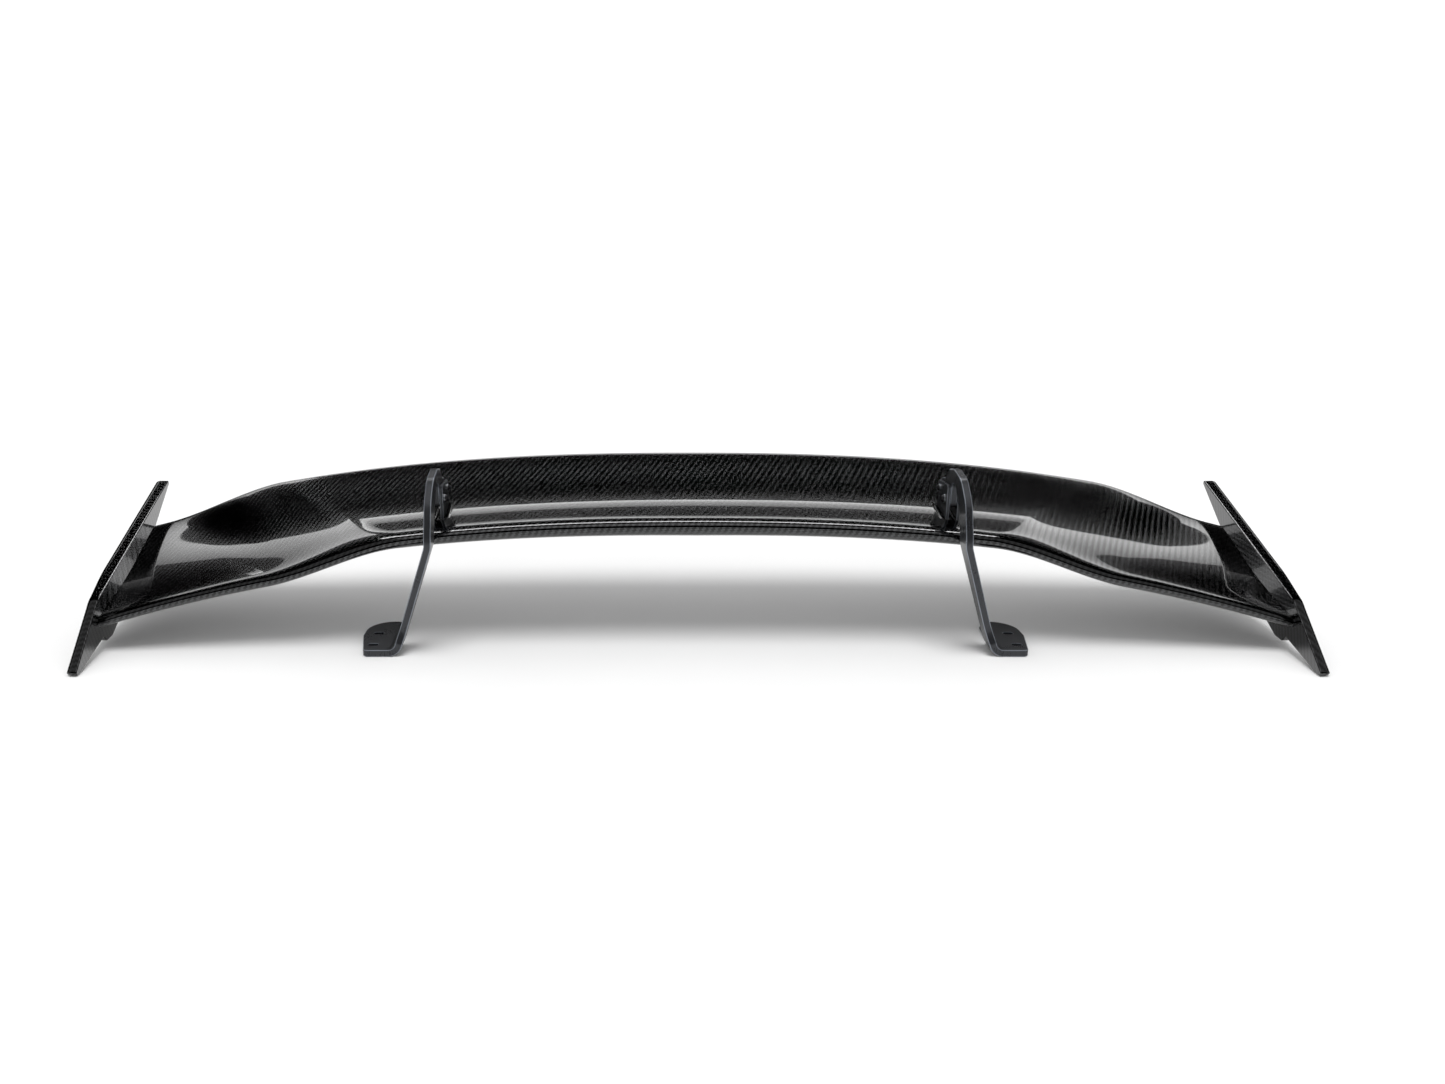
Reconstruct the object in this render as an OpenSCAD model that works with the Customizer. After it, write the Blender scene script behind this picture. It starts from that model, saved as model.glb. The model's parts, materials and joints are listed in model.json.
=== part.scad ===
// Swan-neck rear wing for a touring car: a gull-shaped carbon plane between two end plates,
// hung from above by two bent aluminium uprights that bolt to the boot lid.
// Frame: X across the car, +Y rearward, +Z up, origin at the centre of the four foot slots
// on the boot-lid plane.

/* [Plane] */
// Half of the span, up to the inner faces of the end plates
half_span = 790; // [760:5:820]
// Chord, from the nose to the trailing edge
chord = 239; // [230:1:246]
// How far the tips sit ahead of the middle
sweep = 16; // [0:1:20]
// Height of the nose above the boot lid, at the middle
nose_z = 168.5; // [167:0.5:171]
// Height of the trailing edge above the boot lid, at the middle
tail_z = 211.5; // [208:0.5:214]
// Greatest thickness at the middle
thick_mid = 33; // [30:0.5:34]
// Greatest thickness at the tips
thick_tip = 25; // [23:0.5:27]
// Thickness of the trailing edge
tail_t = 5; // [4.6:0.1:5.4]
// Depth of the camber at the middle
camber_mid = 18; // [16:0.5:19]
// Depth of the camber at the tips
camber_tip = 14; // [12:0.5:16]
// Thickness of each carbon skin
skin_t = 1.2; // [1.1:0.1:2]

/* [Gull shape] */
// Steady droop of the nose from the middle to the tip
nose_droop = 100.5; // [96:0.5:102]
// Steady droop of the trailing edge from the middle to the tip
tail_droop = 82.5; // [78:0.5:84]
// Power of the steady droop along the span
droop_power = 2.41; // [2.3:0.01:2.5]
// Extra drop of the nose through its S-bend
nose_drop = 27; // [20:1:30]
// Extra drop of the trailing edge through its S-bend
tail_drop = 25; // [20:1:28]
// Where the S-bend starts along the nose
nose_bend_x = 380; // [380:5:420]
// Where the S-bend starts along the trailing edge
tail_bend_x = 590; // [560:5:600]
// Length of the S-bend along the span
bend_width = 180; // [160:5:200]

/* [End plates] */
// Thickness of an end plate at its toe
plate_t = 16; // [12:0.5:17]
// How much thicker its blade is
plate_bulge = 5; // [0:0.5:6]
// Radius of the end plate screws
plate_screw_r = 3; // [2.5:0.1:3]

/* [Uprights] */
// Thickness of the upright plate
upright_t = 9.5; // [9:0.25:10]
// Distance of each upright's plane from the middle of the car
upright_x = 345.5; // [344:0.5:347]
// Height of the bend where the leg starts to lean outward
lean_z = 155; // [152:1:160]
// Angle of the leaning leg from the vertical
lean_angle = 18.5; // [17:0.5:19]
// Radius of the foot bend, at the middle of the plate
foot_bend_r = 15; // [12:1:17]
// Radius of the lean bend, at the middle of the plate
lean_bend_r = 30; // [20:1:40]

/* [Foot slots] */
// Distance between the left and the right slots
slot_span = 858; // [854:1:860]
// Distance between the front and the rear slots
slot_pitch = 42; // [38:1:44]
// Length of a slot, end to end, across the car
slot_len = 14; // [12:0.5:15]
// Width of a slot
slot_w = 8.5; // [8:0.1:9]

/* [Pivot and angle adjustment] */
// Distance of the pivot behind the slots' centre
pivot_y = 50; // [48:0.5:52]
// Height of the pivot
pivot_z = 192; // [191:0.5:193]
// Radius of the pivot bolt
pivot_r = 3; // [2.5:0.1:4]
// Radial running clearance of the pivot bolt
pivot_gap = 0.05; // [0.02:0.01:0.1]
// Distance of the clamp bolt behind the pivot
clamp_dy = 28; // [27:0.5:29]
// Height of the clamp bolt above the pivot
clamp_dz = 8; // [7:0.5:9]
// Radius of the clamp bolt
clamp_r = 2.5; // [2:0.1:3.2]
// Angle the wing turns each way from the middle setting
angle_range = 5; // [3:0.5:6]
// Thickness of a bracket ear
ear_t = 4; // [3:0.5:5]
// Gap between an ear and the upright
ear_gap = 0.5; // [0.4:0.1:0.8]

/* [Hidden] */
$fn = 48;

bond = 0.25;                 // gap between bonded pieces
glue = 1;                    // glue between a skin and the pieces inside it
nose_y0 = -13;               // nose at the middle of the span
span_steps = 48;             // lofted stations along the whole span
chord_steps = 14;            // stations along each skin's chord
full_c = 0.3;                // chord fraction of the greatest thickness
nose_power = 2.4;            // bluntness of the nose
tail_power = 1.6;            // how late the tail thins
camber_power = 1.4;          // how far forward the camber sits
camber_c = 1 / (1 + camber_power);
front_spar_c = 0.155;        // chord fraction of the front spar's web
rear_spar_c = 0.50;          // chord fraction of the rear spar's web
spar_flange = 12;            // width of a spar's flanges
spar_t = 1.8;                // thickness of a spar's walls
tip_rib_t = 5;
insert_len = 9.5;            // tip inserts stand out of the inboard side of their rib
insert_r = 4.5;
insert_cs = [0.13, 0.38, 0.62];   // chord fractions of the end plate screws
screw_r = 2.5;               // bracket screws
screw_len = 11;
screw_gap = 0.1;             // radial clearance of a screw in its hole
washer_t = 1.5;
block_t = 8;                 // thickness of the tapped block under the bracket
block_half_w = 25.5;
block_pad = 2;               // how far the block reaches past the bracket's foot
slot_gap = 0.3;              // clearance of an ear in its slot through the skin
rib_t = 3;
rib_hole_r = 5.5;            // lightening holes in the ribs
rib_hole_ys = [42, 64, 86];
flange_t = 4;                // foot of a bracket, under the skin
flange_w = 15;
foot_drop = skin_t + 2 * bond;    // top of that foot below the plane's surface
bracket_y0 = 36;             // front of a bracket
bracket_y1 = 89;             // rear of a bracket
bracket_top_z = [214, 208.5];     // top of an ear, front and rear
screw_ys = [45, 79];         // bracket screws along the car
foot_x0 = 449;               // outer edge of a foot at its rear
foot_taper = 9;              // how much narrower the foot is at its front
foot_x1 = 384;               // where the foot starts to spread from the leg
ear_x_in = upright_x - upright_t / 2 - ear_gap - ear_t;   // inner face of the inner ear
ear_x_out = upright_x + upright_t / 2 + ear_gap + ear_t;  // outer face of the outer ear

// ---- shape of the plane -------------------------------------------------------------------
function mix(a, b, k) = a + (b - a) * k;
function ease(a) = let (c = max(0, min(1, a))) c * c * (3 - 2 * c);
function out(x) = abs(x) / half_span;
function nose_y(x) = nose_y0 - sweep * pow(out(x), 2);
function chord_line_z(x, c) =
    mix(nose_z, tail_z, c)
    - mix(nose_droop, tail_droop, c) * pow(out(x), droop_power)
    - mix(nose_drop, tail_drop, c)
        * ease((abs(x) - mix(nose_bend_x, tail_bend_x, c)) / bend_width);
function camber_shape(c) = c * pow(max(0, 1 - c), camber_power);
function camber(x, c) =
    -mix(camber_mid, camber_tip, out(x)) * camber_shape(c) / camber_shape(camber_c);
function half_t(x, c) =
    let (t = mix(thick_mid, thick_tip, out(x)))
    t / 2 * (c < full_c
        ? pow(1 - pow(1 - c / full_c, nose_power), 1 / nose_power)
        : 1 - (1 - tail_t / t) * pow((c - full_c) / (1 - full_c), tail_power));
function surf_z(x, c, side) = chord_line_z(x, c) + camber(x, c) + side * half_t(x, c);
function c_at(x, y) = (y - nose_y(x)) / chord;
function top_z(x, y) = surf_z(x, c_at(x, y), 1);

// Point of the section at station x: u runs from -1 at the tail below, through 0 at the nose,
// to 1 at the tail above.
function section(x, u) =
    let (c = u * u) [nose_y(x) + c * chord, surf_z(x, c, u < 0 ? -1 : 1)];
function inset(x, u, d) =
    let (a = section(x, max(-1, u - 0.02)), b = section(x, min(1, u + 0.02)),
         t = (b - a) / norm(b - a))
    section(x, u) + d * [t[1], -t[0]];
function at_x(x, ring) = [for (p = ring) [x, p[0], p[1]]];

function stations(end) = [for (i = [0:span_steps]) end * (2 * i / span_steps - 1)];

function reversed(v) = [for (i = [len(v) - 1:-1:0]) v[i]];
// Twice the signed area of a ring of [x, y, z] points, seen along X.
function ring_area(r) = let (n = len(r)) [for (j = [0:n - 1]) let (a = r[j], b = r[(j + 1) % n])
    a[1] * b[2] - b[1] * a[2]] * [for (j = [0:n - 1]) 1];
// Solid through equal rings of [x, y, z] points that lie one after the other along +X.
module loft(any_rings) {
    n = len(any_rings[0]);
    last = len(any_rings) - 1;
    rings = ring_area(any_rings[0]) > 0 ? any_rings : [for (r = any_rings) reversed(r)];
    side_faces = [for (i = [0:last - 1], j = [0:n - 1])
        let (a = i * n + j, b = i * n + (j + 1) % n)
        each [[a, a + n, b], [b, a + n, b + n]]];
    start = [for (j = [0:n - 1]) j];
    end = [for (j = [n - 1:-1:0]) last * n + j];
    polyhedron([for (r = rings) each r], concat(side_faces, [start, end]));
}

function unit(v) = v / norm(v);
// Arc of radius d about the centre of the rounding, of radius r, at the corner p of a-p-b.
function corner_arc(a, p, b, r, d) =
    let (u = unit(a - p), v = unit(b - p), half = acos(u * v) / 2,
         hub = p + unit(u + v) * r / sin(half), reach = r / tan(half),
         from = unit(p + u * reach - hub), to = unit(p + v * reach - hub),
         steps = max(2, ceil((180 - 2 * half) / 10)))
    [for (i = [0:steps]) hub + d * unit(mix(from, to, i / steps))];
// Outline through [a, b, r] corners, each rounded with an arc of radius r.
function rounded(pts) = [for (i = [0:len(pts) - 1])
    let (n = len(pts), p = pts[i], a = pts[(i + n - 1) % n], b = pts[(i + 1) % n])
    each (p[2] == 0 ? [[p[0], p[1]]]
        : corner_arc([a[0], a[1]], [p[0], p[1]], [b[0], b[1]], p[2], p[2]))];

// Plate with a [y, z] outline, between x0 and x1.
module yz_plate(x0, x1, outline) {
    translate([x0, 0, 0]) rotate([90, 0, 90]) linear_extrude(x1 - x0) polygon(outline);
}
module x_rod(x0, x1, y, z, r) {
    translate([x0, y, z]) rotate([0, 90, 0]) cylinder(h = x1 - x0, r = r);
}
module x_hex(x0, x1, y, z, across) {
    translate([x0, y, z]) rotate([0, 90, 0]) cylinder(h = x1 - x0, d = across / cos(30), $fn = 6);
}
module right_side() { mirror([1, 0, 0]) children(); }

// ---- plane --------------------------------------------------------------------------------
function upper_ring(x) =
    let (n = chord_steps, tail_y = nose_y(x) + chord, low = surf_z(x, 1, -1))
    concat([for (i = [0:n]) section(x, i / n)],
           [[tail_y, low], [tail_y - skin_t, low]],
           [for (i = [n:-1:0]) let (p = inset(x, i / n, skin_t))
               i == n ? [tail_y - skin_t, p[1]] : p]);
function lower_ring(x) =
    let (n = chord_steps, end_u = sqrt(1 - (skin_t + bond) / chord))
    concat([for (i = [0:n]) section(x, -end_u * i / n) - [0, i == 0 ? bond : 0]],
           [for (i = [n:-1:0]) inset(x, -end_u * i / n, skin_t) - [0, i == 0 ? bond : 0]]);

module upper_skin() {
    color("#17181a") difference() {
        loft([for (x = stations(half_span - bond)) at_x(x, upper_ring(x))]);
        ear_slots();
        right_side() ear_slots();
    }
}
module lower_skin() {
    color("#1c1d20") loft([for (x = stations(half_span - bond)) at_x(x, lower_ring(x))]);
}

// Height just inside a skin, clear of the glue.
function inner_z(x, c, side) = surf_z(x, c, side) - side * (skin_t + glue);
function spar_ring(x, c, dir) =
    let (y = nose_y(x) + c * chord, w = dir * spar_t, f = dir * spar_flange,
         cf = c + f / chord)
    [[y, inner_z(x, c, 1)], [y + f, inner_z(x, cf, 1)], [y + f, inner_z(x, cf, 1) - spar_t],
     [y + w, inner_z(x, c, 1) - spar_t], [y + w, inner_z(x, c, -1) + spar_t],
     [y + f, inner_z(x, cf, -1) + spar_t], [y + f, inner_z(x, cf, -1)],
     [y, inner_z(x, c, -1)]];
module spar(c, dir) {
    loft([for (x = stations(half_span - insert_len - 5 * bond)) at_x(x, spar_ring(x, c, dir))]);
}
module front_spar() { color("#2a2b2e") spar(front_spar_c, -1); }
module rear_spar() { color("#2a2b2e") spar(rear_spar_c, 1); }

// Ribs that box in the tapped block, between the spars.
function rib_outline(x) =
    let (c0 = front_spar_c + 2 * bond / chord, c1 = rear_spar_c - 2 * bond / chord, n = 8)
    concat([for (i = [0:n]) let (c = mix(c0, c1, i / n)) [nose_y(x) + c * chord, inner_z(x, c, 1)]],
           [for (i = [n:-1:0]) let (c = mix(c0, c1, i / n)) [nose_y(x) + c * chord, inner_z(x, c, -1)]]);
module mount_ribs() {
    for (side = [-1, 1]) let (x = upright_x + side * (block_half_w + rib_t))
        difference() {
            yz_plate(x - rib_t / 2, x + rib_t / 2, rib_outline(x));
            for (y = rib_hole_ys)
                x_rod(x - rib_t, x + rib_t, y, rib_mid_z(x), rib_hole_r);
        }
}
function rib_mid_z(x) = chord_line_z(x, 0.33) + camber(x, 0.33);
module left_mount_ribs() { color("#2a2b2e") mount_ribs(); }
module right_mount_ribs() { color("#2a2b2e") right_side() mount_ribs(); }

// Slope of the upper surface across the car, under the bracket.
mount_y = (bracket_y0 + bracket_y1) / 2;
mount_slope = atan(top_z(upright_x, mount_y) - top_z(upright_x + 1, mount_y));
// Puts a shape, drawn flat around the upright's plane, on the sloping surface.
module on_slope() {
    translate([upright_x, 0, top_z(upright_x, mount_y)]) rotate([0, mount_slope, 0])
        translate([-upright_x, 0, -top_z(upright_x, mount_y)]) children();
}
function surface_line(y0, y1, drop) =
    [for (i = [0:4]) let (y = mix(y0, y1, i / 4)) [y, top_z(upright_x, y) - drop]];
// Band of thickness t that follows the surface at a depth.
function band(y0, y1, drop, t) =
    concat(surface_line(y0, y1, drop + t), reversed(surface_line(y0, y1, drop)));
block_drop = foot_drop + flange_t + bond;

module mount_block() {
    on_slope() difference() {
        yz_plate(upright_x - block_half_w, upright_x + block_half_w,
            band(bracket_y0 - block_pad, bracket_y1 + block_pad, block_drop, block_t));
        screw_shafts(screw_r + screw_gap);
    }
}
module left_mount_block() { color("#9a9ea3") mount_block(); }
module right_mount_block() { color("#9a9ea3") right_side() mount_block(); }

// ---- tips ---------------------------------------------------------------------------------
tip_rib_cs = [0.05, 0.93];    // chord fractions of the tip rib's two ends
function tip_outline(x) =
    let (n = 10, cs = [for (i = [0:n]) mix(tip_rib_cs[0], tip_rib_cs[1], i / n)])
    concat([for (c = cs) [nose_y(x) + c * chord, inner_z(x, c, 1) - bond]],
           [for (c = reversed(cs)) [nose_y(x) + c * chord, inner_z(x, c, -1) + bond]]);
function tip_mid(c) = let (x = half_span) [nose_y(x) + c * chord, chord_line_z(x, c) + camber(x, c)];
module tip_rib() {
    x1 = half_span - 2 * bond;
    difference() {
        yz_plate(x1 - tip_rib_t, x1, tip_outline(x1 - tip_rib_t / 2));
        for (c = insert_cs) let (p = tip_mid(c))
            x_rod(x1 - tip_rib_t - 1, x1 + 1, p[0], p[1], insert_r + screw_gap);
    }
}
module left_tip_rib() { color("#2a2b2e") tip_rib(); }
module right_tip_rib() { color("#2a2b2e") right_side() tip_rib(); }

module tip_inserts() {
    x1 = half_span - 2 * bond;
    for (c = insert_cs) let (p = tip_mid(c))
        difference() {
            x_rod(x1 - insert_len, x1, p[0], p[1], insert_r);
            x_rod(x1 - insert_len - 1, x1 + 1, p[0], p[1], plate_screw_r + screw_gap);
        }
}
module left_tip_inserts() { color("#b99a55") tip_inserts(); }
module right_tip_inserts() { color("#b99a55") right_side() tip_inserts(); }

swell_y0 = -30;              // where the blade starts to swell
swell_len = 90;
plate_y0 = -125;             // box around an end plate's outline
plate_y1 = 315;
plate_top = 170;
screw_sink = 0.5;            // screw heads below the outer face
// Swept blade with a toe that reaches the ground in front and a small skid behind it.
plate_outline = rounded([
    [-100, 0, 8], [-118, 0, 4], [-17, 72, 40], [309, 162.4, 3.5], [213, 103, 30], [125, 50, 120],
    [36, 17, 12], [16, 8.5, 10], [-4, 8, 6], [-13, 17, 5]]);
// Outer face: the blade swells behind the toe.
function plate_out(y) = half_span + plate_t + plate_bulge * ease((y - swell_y0) / swell_len);
function screw_head_x(y) = plate_out(y) - screw_sink;
module end_plate() {
    difference() {
        intersection() {
            yz_plate(half_span, half_span + plate_t + plate_bulge, plate_outline);
            linear_extrude(plate_top) polygon(concat(
                [[half_span, plate_y1], [half_span, plate_y0], [plate_out(plate_y0), plate_y0]],
                [for (i = [0:8]) let (y = swell_y0 + swell_len * i / 8) [plate_out(y), y]],
                [[plate_out(plate_y1), plate_y1]]));
        }
        for (c = insert_cs) let (p = tip_mid(c), x1 = screw_head_x(p[0])) {
            x_rod(half_span - 1, x1 + 1, p[0], p[1], plate_screw_r + screw_gap);
            translate([x1, p[0], p[1]]) rotate([0, -90, 0])
                cylinder(h = plate_screw_r, r1 = 2 * plate_screw_r + screw_gap,
                         r2 = plate_screw_r + screw_gap);
            x_rod(x1, x1 + 2, p[0], p[1], 2 * plate_screw_r + screw_gap);
        }
    }
}
module left_end_plate() { color("#17181a") end_plate(); }
module right_end_plate() { color("#17181a") right_side() end_plate(); }

// Countersunk screws with a hexagon socket.
module plate_screws() {
    for (c = insert_cs) let (p = tip_mid(c), x1 = screw_head_x(p[0]))
        difference() {
            union() {
                x_rod(half_span - insert_len + 1, x1 - 1, p[0], p[1], plate_screw_r);
                translate([x1, p[0], p[1]]) rotate([0, -90, 0])
                    cylinder(h = plate_screw_r, r1 = 2 * plate_screw_r, r2 = plate_screw_r);
            }
            x_hex(x1 - 0.8 * plate_screw_r, x1 + 1, p[0], p[1], 4);
        }
}
module left_plate_screws() { color("#8f949a") plate_screws(); }
module right_plate_screws() { color("#8f949a") right_side() plate_screws(); }

// ---- brackets -----------------------------------------------------------------------------
clamp_y = pivot_y + clamp_dy;
clamp_z = pivot_z + clamp_dz;
function screw_x(side) = side < 0 ? ear_x_in - flange_w / 2 : ear_x_out + flange_w / 2;
module screw_shafts(r) {
    for (side = [-1, 1], y = screw_ys)
        translate([screw_x(side), y, top_z(upright_x, y) - 25]) cylinder(h = 25, r = r);
}
// Slots in the upper skin for the two ears.
module ear_slots() {
    for (x = [ear_x_in, ear_x_out - ear_t])
        translate([x - slot_gap, bracket_y0 - slot_gap, top_z(upright_x, mount_y) - 15])
            cube([ear_t + 2 * slot_gap, bracket_y1 - bracket_y0 + 2 * slot_gap, 30]);
}

// Ear that stands up through the skin, on a foot that lies under it.
module bracket(x0, x1, foot0, foot1) {
    difference() {
        union() {
            yz_plate(x0, x1, concat(
                surface_line(bracket_y0, bracket_y1, foot_drop + flange_t / 2), ear_top()));
            on_slope() yz_plate(foot0, foot1,
                                band(bracket_y0 - 1, bracket_y1 + 1, foot_drop, flange_t));
        }
        x_rod(x0 - 1, x1 + 1, pivot_y, pivot_z, pivot_r + screw_gap);
        x_rod(x0 - 1, x1 + 1, clamp_y, clamp_z, clamp_r + screw_gap);
        on_slope() {
            screw_shafts(screw_r + screw_gap);
            for (side = [-1, 1], y = screw_ys)
                translate([screw_x(side), y, screw_top(y)]) screw_head(screw_gap);
        }
    }
}
function ear_top() =
    let (y0 = bracket_y0, y1 = bracket_y1, z0 = bracket_top_z[0], z1 = bracket_top_z[1])
    concat(corner_arc([y1, z1 - 20], [y1, z1], [y0, z0], 6, 6),
           corner_arc([y1, z1], [y0, z0], [y0, z0 - 20], 4, 4));
module inner_bracket() { bracket(ear_x_in, ear_x_in + ear_t, ear_x_in - flange_w, ear_x_in + 1); }
module outer_bracket() { bracket(ear_x_out - ear_t, ear_x_out, ear_x_out - 1, ear_x_out + flange_w); }
module left_inner_bracket() { color("#2d2e31") inner_bracket(); }
module right_inner_bracket() { color("#2d2e31") right_side() inner_bracket(); }
module left_outer_bracket() { color("#2d2e31") outer_bracket(); }
module right_outer_bracket() { color("#2d2e31") right_side() outer_bracket(); }

// Countersunk screws that hold the bracket feet to the tapped block.
function screw_top(y) = top_z(upright_x, y) - foot_drop - 0.25;
module screw_head(gap) {
    translate([0, 0, -screw_r]) cylinder(h = screw_r, r1 = screw_r + gap, r2 = 2 * screw_r + gap);
    if (gap > 0) cylinder(h = 2, r = 2 * screw_r + gap);
}
module bracket_screws() {
    on_slope() for (side = [-1, 1], y = screw_ys)
        translate([screw_x(side), y, screw_top(y)]) difference() {
            union() {
                translate([0, 0, -screw_len]) cylinder(h = screw_len - 1, r = screw_r);
                screw_head(0);
            }
            translate([0, 0, -1.8]) cylinder(h = 3, d = 3 / cos(30), $fn = 6);
        }
}
module left_bracket_screws() { color("#8f949a") bracket_screws(); }
module right_bracket_screws() { color("#8f949a") right_side() bracket_screws(); }

// ---- bolts at the upright's head ----------------------------------------------------------
bolt_head_x = ear_x_in - washer_t - 0.1;
bolt_nut_x = ear_x_out + washer_t + 0.1;
// Button-head bolt with a hexagon socket; its sizes follow the thread radius r.
module ear_bolt(y, z, r) {
    head_h = 1.1 * r;
    difference() {
        union() {
            intersection() {
                x_rod(bolt_head_x - head_h, bolt_head_x, y, z, 1.75 * r);
                translate([bolt_head_x + 0.39 * r, y, z]) rotate([0, 90, 0]) sphere(r = 1.79 * r);
            }
            x_rod(bolt_head_x - 0.5, bolt_nut_x + 2.4 * r, y, z, r);
        }
        x_hex(bolt_head_x - head_h - 1, bolt_head_x - head_h / 2, y, z, 1.3 * r);
    }
}
// Self-locking nut: hexagon with a round collar.
module ear_nut(y, z, r) {
    difference() {
        union() {
            x_hex(bolt_nut_x, bolt_nut_x + 1.6 * r, y, z, 3.25 * r);
            x_rod(bolt_nut_x, bolt_nut_x + 1.9 * r, y, z, 1.45 * r);
        }
        x_rod(bolt_nut_x - 1, bolt_nut_x + 3 * r, y, z, r + screw_gap);
    }
}
module washer(x, y, z, r) {
    difference() {
        x_rod(x, x + washer_t, y, z, 2 * r);
        x_rod(x - 1, x + washer_t + 1, y, z, r + screw_gap);
    }
}
module washers() {
    for (x = [ear_x_in - washer_t - 0.05, ear_x_out + 0.05]) {
        washer(x, pivot_y, pivot_z, pivot_r);
        washer(x, clamp_y, clamp_z, clamp_r);
    }
}
module left_pivot_bolt() { color("#a5a9ae") ear_bolt(pivot_y, pivot_z, pivot_r); }
module right_pivot_bolt() { color("#a5a9ae") right_side() ear_bolt(pivot_y, pivot_z, pivot_r); }
module left_pivot_nut() { color("#a5a9ae") ear_nut(pivot_y, pivot_z, pivot_r); }
module right_pivot_nut() { color("#a5a9ae") right_side() ear_nut(pivot_y, pivot_z, pivot_r); }
module left_clamp_bolt() { color("#a5a9ae") ear_bolt(clamp_y, clamp_z, clamp_r); }
module right_clamp_bolt() { color("#a5a9ae") right_side() ear_bolt(clamp_y, clamp_z, clamp_r); }
module left_clamp_nut() { color("#a5a9ae") ear_nut(clamp_y, clamp_z, clamp_r); }
module right_clamp_nut() { color("#a5a9ae") right_side() ear_nut(clamp_y, clamp_z, clamp_r); }
module left_washers() { color("#b4b7bb") washers(); }
module right_washers() { color("#b4b7bb") right_side() washers(); }

// ---- uprights -----------------------------------------------------------------------------
// The bent plate from the front: middle line down the neck, out along the leg, out over the foot.
knee_x = upright_x + (lean_z - upright_t / 2) * tan(lean_angle);
neck_top = [upright_x, 260];
lean_point = [upright_x, lean_z];
knee_point = [knee_x, upright_t / 2];
foot_end = [foot_x0 + 5, upright_t / 2];
// The lean bend turns outward round a centre outboard of the plate, the foot bend above it.
function bent_side(d) = concat(
    [neck_top + [d, 0]],
    corner_arc(neck_top, lean_point, knee_point, lean_bend_r, lean_bend_r - d),
    corner_arc(lean_point, knee_point, foot_end, foot_bend_r, foot_bend_r - d),
    [foot_end + [0, d]]);
bent_strip = concat(bent_side(upright_t / 2), reversed(bent_side(-upright_t / 2)));

// Side view of the swan neck, the leg and the foot's bend.
neck_outline = rounded([
    [-41.8, -2, 0], [-41.8, 10, 10], [-33, 34, 40], [-61, 160, 40], [-40, 210, 45],
    [-9, 233, 40], [30, 238, 40],
    [54, 232, 14], [70, 216, 16], [95, 210, 10], [88, 188, 10], [60, 183, 8], [38, 182, 6],
    [34, 218, 9], [16, 219, 12], [-10, 193, 30], [-26, 160, 30], [-2, 14, 20], [-2, -2, 0]]);
// Plan of the foot: outer edge splayed, rear corner well rounded.
foot_outline = rounded([
    [foot_x1, -42, 0], [foot_x0 - foot_taper - 1, -42, 7], [foot_x0, 14, 12],
    [foot_x0 - 2, 67, 36], [foot_x1 + 18, 67, 8], [foot_x1 + 14, 4, 16], [foot_x1, -6, 0]]);
foot_reach_z = 12;            // below this height the plan outline shapes the part

module foot_slots() {
    for (y = [-slot_pitch / 2, slot_pitch / 2]) {
        for (side = [-1, 1])
            translate([slot_span / 2 + side * (slot_len - slot_w) / 2, y, -1])
                cylinder(h = upright_t + 2, d = slot_w);
        translate([slot_span / 2 - (slot_len - slot_w) / 2, y - slot_w / 2, -1])
            cube([slot_len - slot_w, slot_w, upright_t + 2]);
    }
}
// Arc slot that the clamp bolt runs in as the wing turns about the pivot.
module arc_slot() {
    arm = norm([clamp_dy, clamp_dz]);
    rest = atan(clamp_dz / clamp_dy);
    a0 = rest - angle_range - 0.3;
    a1 = rest + angle_range + 0.3;
    w = clamp_r + 0.4;
    turn = function (r, a) [pivot_y + r * cos(a), pivot_z + r * sin(a)];
    yz_plate(upright_x - upright_t, upright_x + upright_t, concat(
        [for (i = [0:6]) turn(arm + w, mix(a0, a1, i / 6))],
        [for (i = [1:9]) turn(arm, a1) + w * [cos(a1 + 18 * i), sin(a1 + 18 * i)]],
        [for (i = [6:-1:0]) turn(arm - w, mix(a0, a1, i / 6))],
        [for (i = [1:9]) turn(arm, a0) + w * [cos(a0 + 180 + 18 * i), sin(a0 + 180 + 18 * i)]]));
}
module upright() {
    difference() {
        intersection() {
            translate([0, 200, 0]) rotate([90, 0, 0]) linear_extrude(400) polygon(bent_strip);
            union() {
                yz_plate(upright_x - 40, upright_x + 65, neck_outline);
                translate([0, 0, -2]) linear_extrude(foot_reach_z + 2) polygon(foot_outline);
            }
        }
        x_rod(upright_x - upright_t, upright_x + upright_t, pivot_y, pivot_z, pivot_r + pivot_gap);
        arc_slot();
        foot_slots();
    }
}
module left_upright() { color("#26272a") upright(); }
module right_upright() { color("#26272a") right_side() upright(); }

upper_skin();
lower_skin();
front_spar();
rear_spar();
left_mount_ribs();
right_mount_ribs();
left_mount_block();
right_mount_block();
left_tip_rib();
right_tip_rib();
left_tip_inserts();
right_tip_inserts();
left_end_plate();
right_end_plate();
left_plate_screws();
right_plate_screws();
left_inner_bracket();
right_inner_bracket();
left_outer_bracket();
right_outer_bracket();
left_bracket_screws();
right_bracket_screws();
left_pivot_bolt();
right_pivot_bolt();
left_pivot_nut();
right_pivot_nut();
left_clamp_bolt();
right_clamp_bolt();
left_clamp_nut();
right_clamp_nut();
left_washers();
right_washers();
left_upright();
right_upright();
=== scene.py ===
import json
import math

import bpy
import numpy as np
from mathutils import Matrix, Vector
from mathutils.geometry import delaunay_2d_cdt


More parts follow.
